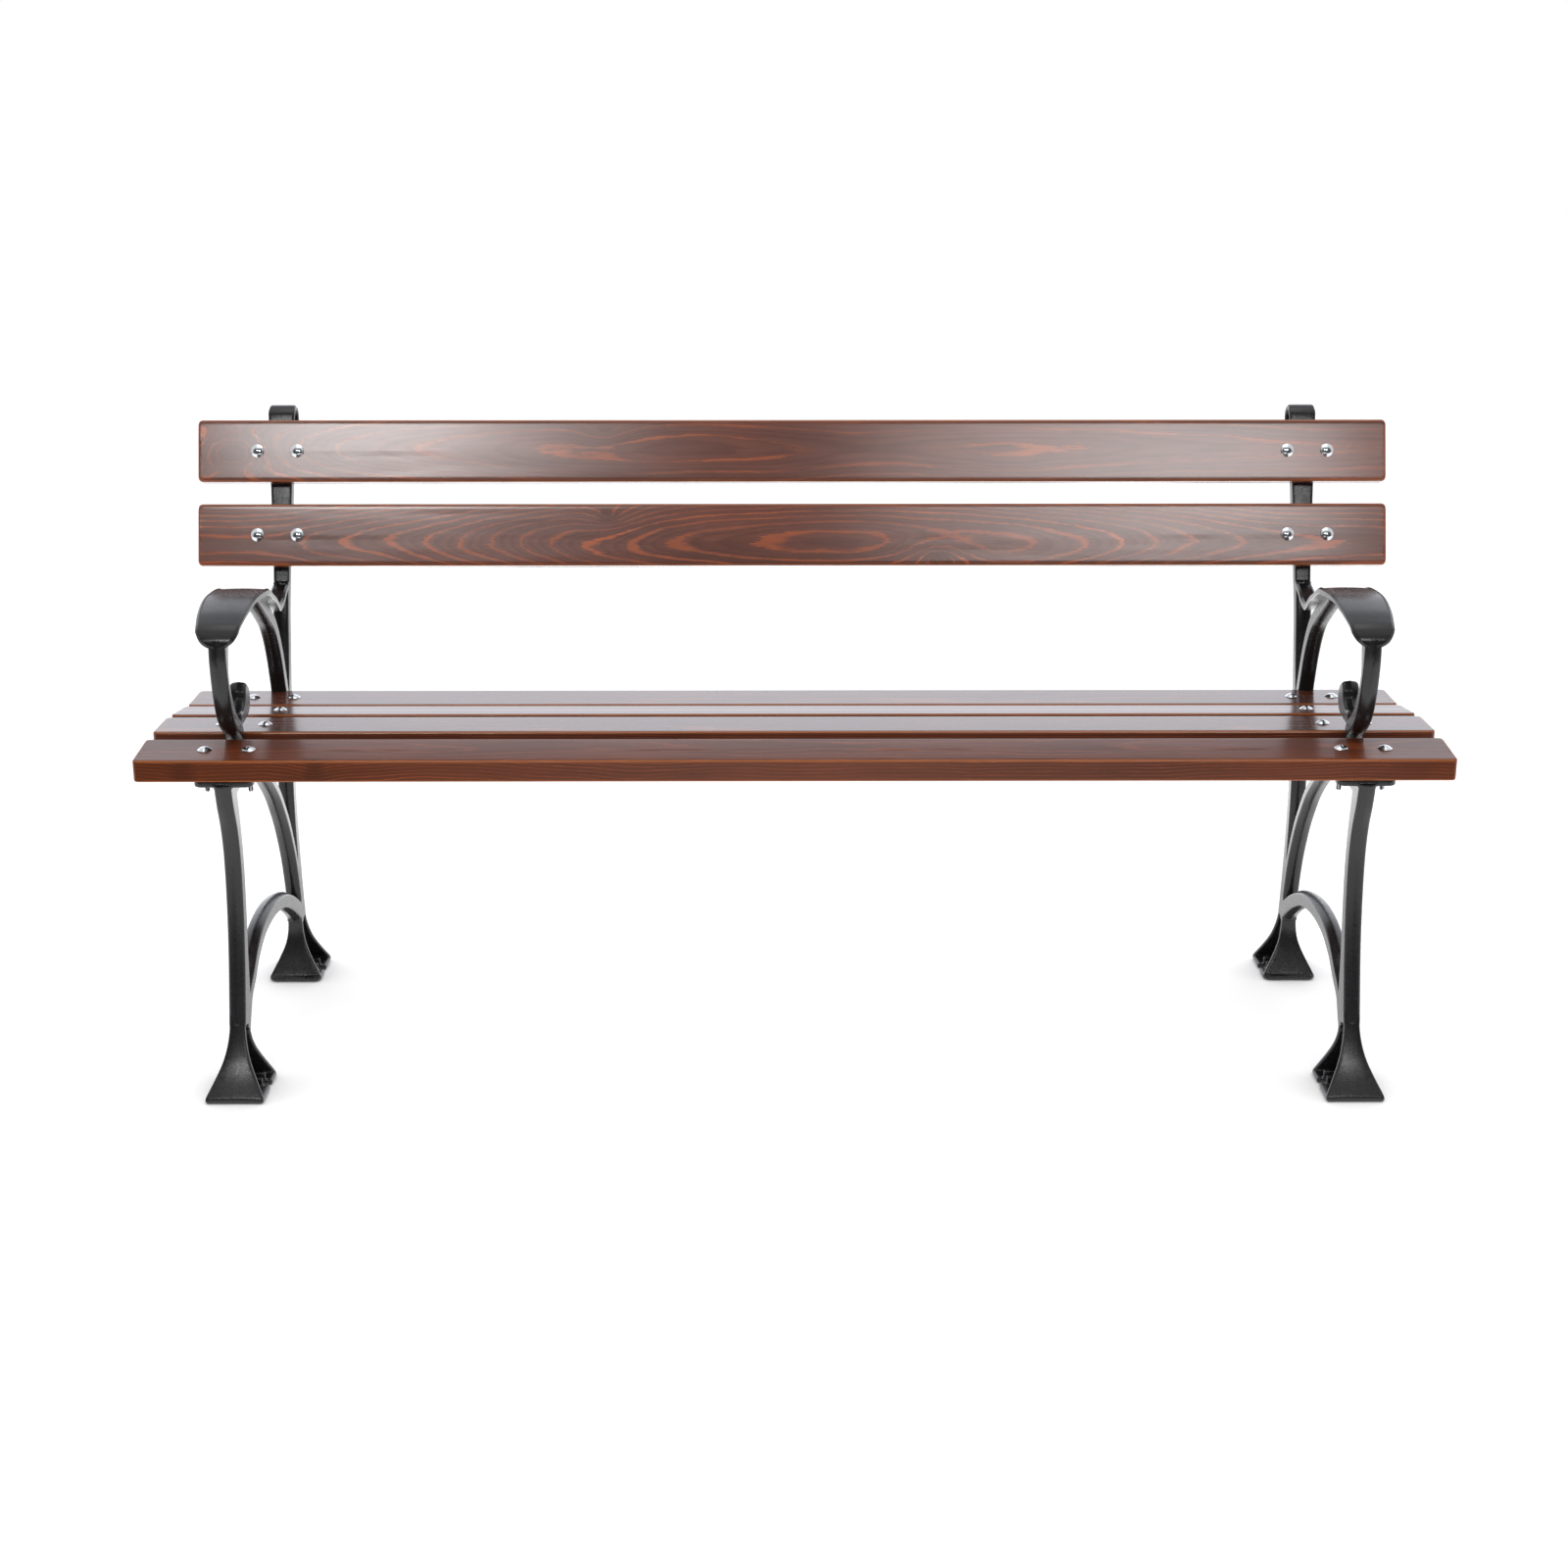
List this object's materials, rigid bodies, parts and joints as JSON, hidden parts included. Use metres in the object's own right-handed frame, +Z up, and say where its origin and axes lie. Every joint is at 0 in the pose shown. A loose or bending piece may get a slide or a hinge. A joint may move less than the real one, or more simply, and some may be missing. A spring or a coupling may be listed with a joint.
{
  "type": "bench",
  "caption": "Garden bench with scrolled cast iron side frames carrying a stained wooden slat seat and back.",
  "frame": {"origin": "on the ground under the middle of the bench's bounding box", "axes": "+X along the slats to the right as seen from the front, +Y to the back, +Z up"},
  "size_m": [1.5, 0.5552, 0.7364],
  "materials": {
    "iron": "black satin paint over the raw casting",
    "timber": "red-brown stained pine with a low sheen",
    "zinc": "bright zinc plate"
  },
  "bodies": {
    "root": {"side_frame_left": "iron", "side_frame_right": "iron", "seat_slat_front": "timber", "seat_slat_second": "timber", "seat_slat_third": "timber", "seat_slat_rear": "timber", "back_slat_lower": "timber", "back_slat_upper": "timber", "seat_front_bolts": "zinc", "seat_second_bolts": "zinc", "seat_third_bolts": "zinc", "seat_rear_bolts": "zinc", "back_lower_bolts": "zinc", "back_upper_bolts": "zinc", "seat_front_washers": "zinc", "seat_second_washers": "zinc", "seat_third_washers": "zinc", "seat_rear_washers": "zinc", "back_lower_washers": "zinc", "back_upper_washers": "zinc", "seat_front_nuts": "zinc", "seat_second_nuts": "zinc", "seat_third_nuts": "zinc", "seat_rear_nuts": "zinc", "back_lower_nuts": "zinc", "back_upper_nuts": "zinc"}
  },
  "joints": []
}
